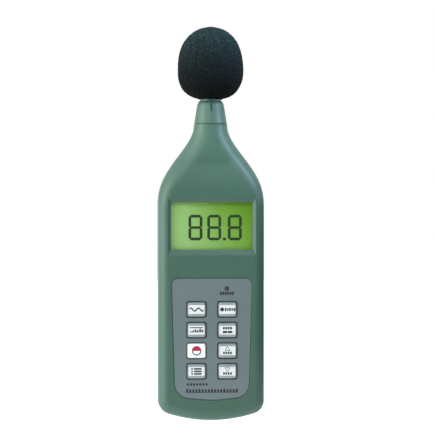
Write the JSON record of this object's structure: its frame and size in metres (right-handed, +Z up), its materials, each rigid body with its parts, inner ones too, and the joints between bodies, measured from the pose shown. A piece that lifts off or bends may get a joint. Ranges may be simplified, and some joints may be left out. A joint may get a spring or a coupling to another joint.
{
  "type": "sound level meter",
  "caption": "Hand-held sound level meter: moulded case with tapered neck, foam-covered microphone, green display, sprung keypad, sliding battery cover and tripod socket.",
  "frame": {"origin": "middle of the bottom edge, below the microphone's axis, on the parting plane between the two halves of the case", "axes": "+Z up along the length towards the windscreen, -Y out of the front with the display and keys, +Y out of the back, +X to the right seen from the front"},
  "size_m": [0.063, 0.04, 0.2355],
  "materials": {
    "case_plastic": "fine moulded texture, grey-green, half matt",
    "sleeve_plastic": "smooth moulded plastic, green",
    "black_plastic": "moulded plastic, black",
    "screw_steel": "zinc-plated steel",
    "spring_steel": "nickel-plated steel",
    "insert_brass": "turned brass",
    "panel_film": "printed film, blue-grey, satin",
    "key_plastic": "moulded key cap, pale grey, satin",
    "lamp_lens": "tinted lens, dull red",
    "window_acrylic": "clear acrylic",
    "display_glass": "liquid crystal cell, yellow-green, with dark segments",
    "reflector_sheet": "white diffuser",
    "contact_rubber": "striped conductive silicone, pink",
    "mat_rubber": "silicone sheet, pale grey",
    "board_laminate": "glass-fibre laminate with green mask",
    "trimmer_plastic": "moulded plastic, blue",
    "can_metal": "drawn metal can",
    "capacitor_sleeve": "shrunk plastic sleeve, dark blue",
    "cell_jacket": "printed metal jacket, plain blue",
    "microphone_steel": "satin nickel",
    "windscreen_foam": "open-cell polyurethane foam, near black"
  },
  "bodies": {
    "case": {"front_shell": "case_plastic", "rear_shell": "case_plastic", "battery_tray": "black_plastic", "case_screw_1": "screw_steel", "case_screw_2": "screw_steel", "case_screw_3": "screw_steel", "case_screw_4": "screw_steel", "tripod_insert": "insert_brass", "output_jack": "black_plastic", "keypad_overlay": "panel_film", "status_led": "lamp_lens", "lcd_window": "window_acrylic", "lcd_glass": "display_glass", "lcd_reflector": "reflector_sheet", "lcd_contact_lower": "contact_rubber", "lcd_contact_upper": "contact_rubber", "lcd_holder": "black_plastic", "main_board": "board_laminate", "keypad_mat": "mat_rubber", "processor_chip": "black_plastic", "gain_trimmer": "trimmer_plastic", "board_header": "black_plastic", "preamp_board": "board_laminate", "quartz_crystal": "can_metal", "capacitor_1": "capacitor_sleeve", "capacitor_2": "capacitor_sleeve", "battery_1": "cell_jacket", "battery_2": "cell_jacket", "battery_3": "cell_jacket", "battery_4": "cell_jacket", "battery_spring_1": "spring_steel", "battery_spring_2": "spring_steel", "battery_spring_3": "spring_steel", "battery_spring_4": "spring_steel", "battery_contact_1": "spring_steel", "battery_contact_2": "spring_steel", "battery_contact_3": "spring_steel", "battery_contact_4": "spring_steel", "mic_collar": "case_plastic", "mic_sleeve": "sleeve_plastic", "mic_barrel": "microphone_steel", "mic_capsule": "microphone_steel", "mic_grid": "microphone_steel"},
    "battery_cover": {"battery_cover": "case_plastic"},
    "windscreen": {"windscreen": "windscreen_foam"},
    "key_function": {"key_function": "key_plastic"},
    "key_record": {"key_record": "key_plastic"},
    "key_max_hold": {"key_max_hold": "key_plastic"},
    "key_response": {"key_response": "key_plastic"},
    "key_power": {"key_power": "key_plastic"},
    "key_up": {"key_up": "key_plastic"},
    "key_menu": {"key_menu": "key_plastic"},
    "key_down": {"key_down": "key_plastic"}
  },
  "joints": [
    {"name": "key_function_press", "type": "slide", "parent": "case", "child": "key_function", "axis": [0, 1, 0], "range_m": [0, 0.0008], "stiffness_N_per_m": 1500},
    {"name": "key_record_press", "type": "slide", "parent": "case", "child": "key_record", "axis": [0, 1, 0], "range_m": [0, 0.0008], "stiffness_N_per_m": 1500},
    {"name": "key_max_hold_press", "type": "slide", "parent": "case", "child": "key_max_hold", "axis": [0, 1, 0], "range_m": [0, 0.0008], "stiffness_N_per_m": 1500},
    {"name": "key_response_press", "type": "slide", "parent": "case", "child": "key_response", "axis": [0, 1, 0], "range_m": [0, 0.0008], "stiffness_N_per_m": 1500},
    {"name": "key_power_press", "type": "slide", "parent": "case", "child": "key_power", "axis": [0, 1, 0], "range_m": [0, 0.0008], "stiffness_N_per_m": 1500},
    {"name": "key_up_press", "type": "slide", "parent": "case", "child": "key_up", "axis": [0, 1, 0], "range_m": [0, 0.0008], "stiffness_N_per_m": 1500},
    {"name": "key_menu_press", "type": "slide", "parent": "case", "child": "key_menu", "axis": [0, 1, 0], "range_m": [0, 0.0008], "stiffness_N_per_m": 1500},
    {"name": "key_down_press", "type": "slide", "parent": "case", "child": "key_down", "axis": [0, 1, 0], "range_m": [0, 0.0008], "stiffness_N_per_m": 1500},
    {"name": "battery_cover_slide", "type": "slide", "parent": "case", "child": "battery_cover", "axis": [0, 0, -1], "range_m": [0, 0.066]},
    {"name": "windscreen_pull", "type": "slide", "parent": "case", "child": "windscreen", "axis": [0, 0, 1], "range_m": [0, 0.03]}
  ]
}
